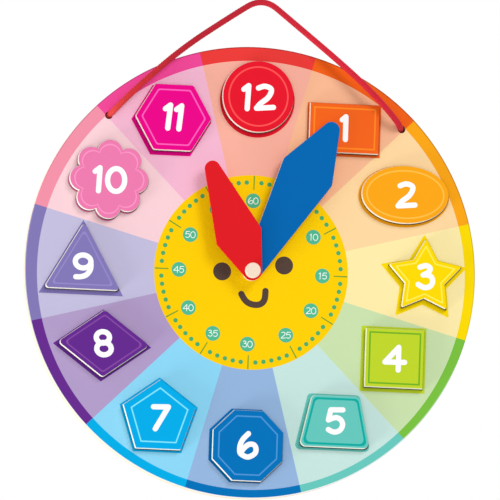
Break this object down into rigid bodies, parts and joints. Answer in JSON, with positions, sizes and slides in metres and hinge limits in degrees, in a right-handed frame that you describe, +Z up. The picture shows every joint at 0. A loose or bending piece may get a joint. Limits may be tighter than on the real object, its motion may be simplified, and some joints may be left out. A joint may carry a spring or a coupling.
{
  "type": "teaching clock",
  "caption": "Round wooden teaching clock: printed board, magnetic hour tiles in different shapes, hand-set hands on a peg, and a hanging cord.",
  "frame": {"origin": "underside of the top of the hanging cord's loop, where a hook bears, in the middle of the cord's depth and straight above the pivot", "axes": "+Z up as it hangs, -Y out of the dial towards the viewer, +X to the viewer's right"},
  "size_m": [0.3, 0.0307, 0.3314],
  "materials": {
    "board_wood": "matte",
    "sheet_steel": "satin",
    "face_print": "satin",
    "magnet_rubber": "matte",
    "peg_wood": "satin",
    "minute_paint": "satin",
    "hour_paint": "satin",
    "cord_braid": "matte",
    "tile_01_wood": "satin",
    "tile_02_wood": "satin",
    "tile_03_wood": "satin",
    "tile_04_wood": "satin",
    "tile_05_wood": "satin",
    "tile_06_wood": "satin",
    "tile_07_wood": "satin",
    "tile_08_wood": "satin",
    "tile_09_wood": "satin",
    "tile_10_wood": "satin",
    "tile_11_wood": "satin",
    "tile_12_wood": "satin"
  },
  "bodies": {
    "board": {"board": "board_wood", "steel_sheet": "sheet_steel", "printed_face": "face_print", "hub_spacer": "peg_wood", "pivot_peg": "peg_wood", "hanging_cord": "cord_braid", "left_knot": "cord_braid", "right_knot": "cord_braid"},
    "minute_hand": {"minute_hand": "minute_paint"},
    "hour_hand": {"hour_hand": "hour_paint"},
    "tile_01": {"tile_01_rectangle_magnet": "magnet_rubber", "tile_01_rectangle_core": "tile_01_wood"},
    "tile_02": {"tile_02_ellipse_magnet": "magnet_rubber", "tile_02_ellipse_core": "tile_02_wood"},
    "tile_03": {"tile_03_star_magnet": "magnet_rubber", "tile_03_star_core": "tile_03_wood"},
    "tile_04": {"tile_04_square_magnet": "magnet_rubber", "tile_04_square_core": "tile_04_wood"},
    "tile_05": {"tile_05_trapezoid_magnet": "magnet_rubber", "tile_05_trapezoid_core": "tile_05_wood"},
    "tile_06": {"tile_06_octagon_magnet": "magnet_rubber", "tile_06_octagon_core": "tile_06_wood"},
    "tile_07": {"tile_07_pentagon_magnet": "magnet_rubber", "tile_07_pentagon_core": "tile_07_wood"},
    "tile_08": {"tile_08_rhombus_magnet": "magnet_rubber", "tile_08_rhombus_core": "tile_08_wood"},
    "tile_09": {"tile_09_triangle_magnet": "magnet_rubber", "tile_09_triangle_core": "tile_09_wood"},
    "tile_10": {"tile_10_flower_magnet": "magnet_rubber", "tile_10_flower_core": "tile_10_wood"},
    "tile_11": {"tile_11_hexagon_magnet": "magnet_rubber", "tile_11_hexagon_core": "tile_11_wood"},
    "tile_12": {"tile_12_circle_magnet": "magnet_rubber", "tile_12_circle_core": "tile_12_wood"}
  },
  "joints": [
    {"name": "minute_hand_turn", "type": "hinge", "parent": "board", "child": "minute_hand", "pos_m": [0, 0, -0.17743], "axis": [0, 1, 0], "continuous": true},
    {"name": "hour_hand_turn", "type": "hinge", "parent": "board", "child": "hour_hand", "pos_m": [0, 0, -0.17743], "axis": [0, 1, 0], "continuous": true},
    {"name": "tile_01_slide", "type": "slide", "parent": "board", "child": "tile_01", "axis": [-0.5146, 0, -0.8574], "range_m": [0, 0.045]},
    {"name": "tile_02_lift", "type": "slide", "parent": "board", "child": "tile_02", "axis": [0, -1, 0], "range_m": [0, 0.04]},
    {"name": "tile_03_lift", "type": "slide", "parent": "board", "child": "tile_03", "axis": [0, -1, 0], "range_m": [0, 0.04]},
    {"name": "tile_04_lift", "type": "slide", "parent": "board", "child": "tile_04", "axis": [0, -1, 0], "range_m": [0, 0.04]},
    {"name": "tile_05_lift", "type": "slide", "parent": "board", "child": "tile_05", "axis": [0, -1, 0], "range_m": [0, 0.04]},
    {"name": "tile_06_lift", "type": "slide", "parent": "board", "child": "tile_06", "axis": [0, -1, 0], "range_m": [0, 0.04]},
    {"name": "tile_07_lift", "type": "slide", "parent": "board", "child": "tile_07", "axis": [0, -1, 0], "range_m": [0, 0.04]},
    {"name": "tile_08_lift", "type": "slide", "parent": "board", "child": "tile_08", "axis": [0, -1, 0], "range_m": [0, 0.04]},
    {"name": "tile_09_lift", "type": "slide", "parent": "board", "child": "tile_09", "axis": [0, -1, 0], "range_m": [0, 0.04]},
    {"name": "tile_10_lift", "type": "slide", "parent": "board", "child": "tile_10", "axis": [0, -1, 0], "range_m": [0, 0.04]},
    {"name": "tile_11_lift", "type": "slide", "parent": "board", "child": "tile_11", "axis": [0, -1, 0], "range_m": [0, 0.04]},
    {"name": "tile_12_lift", "type": "slide", "parent": "board", "child": "tile_12", "axis": [0, -1, 0], "range_m": [0, 0.04]}
  ]
}
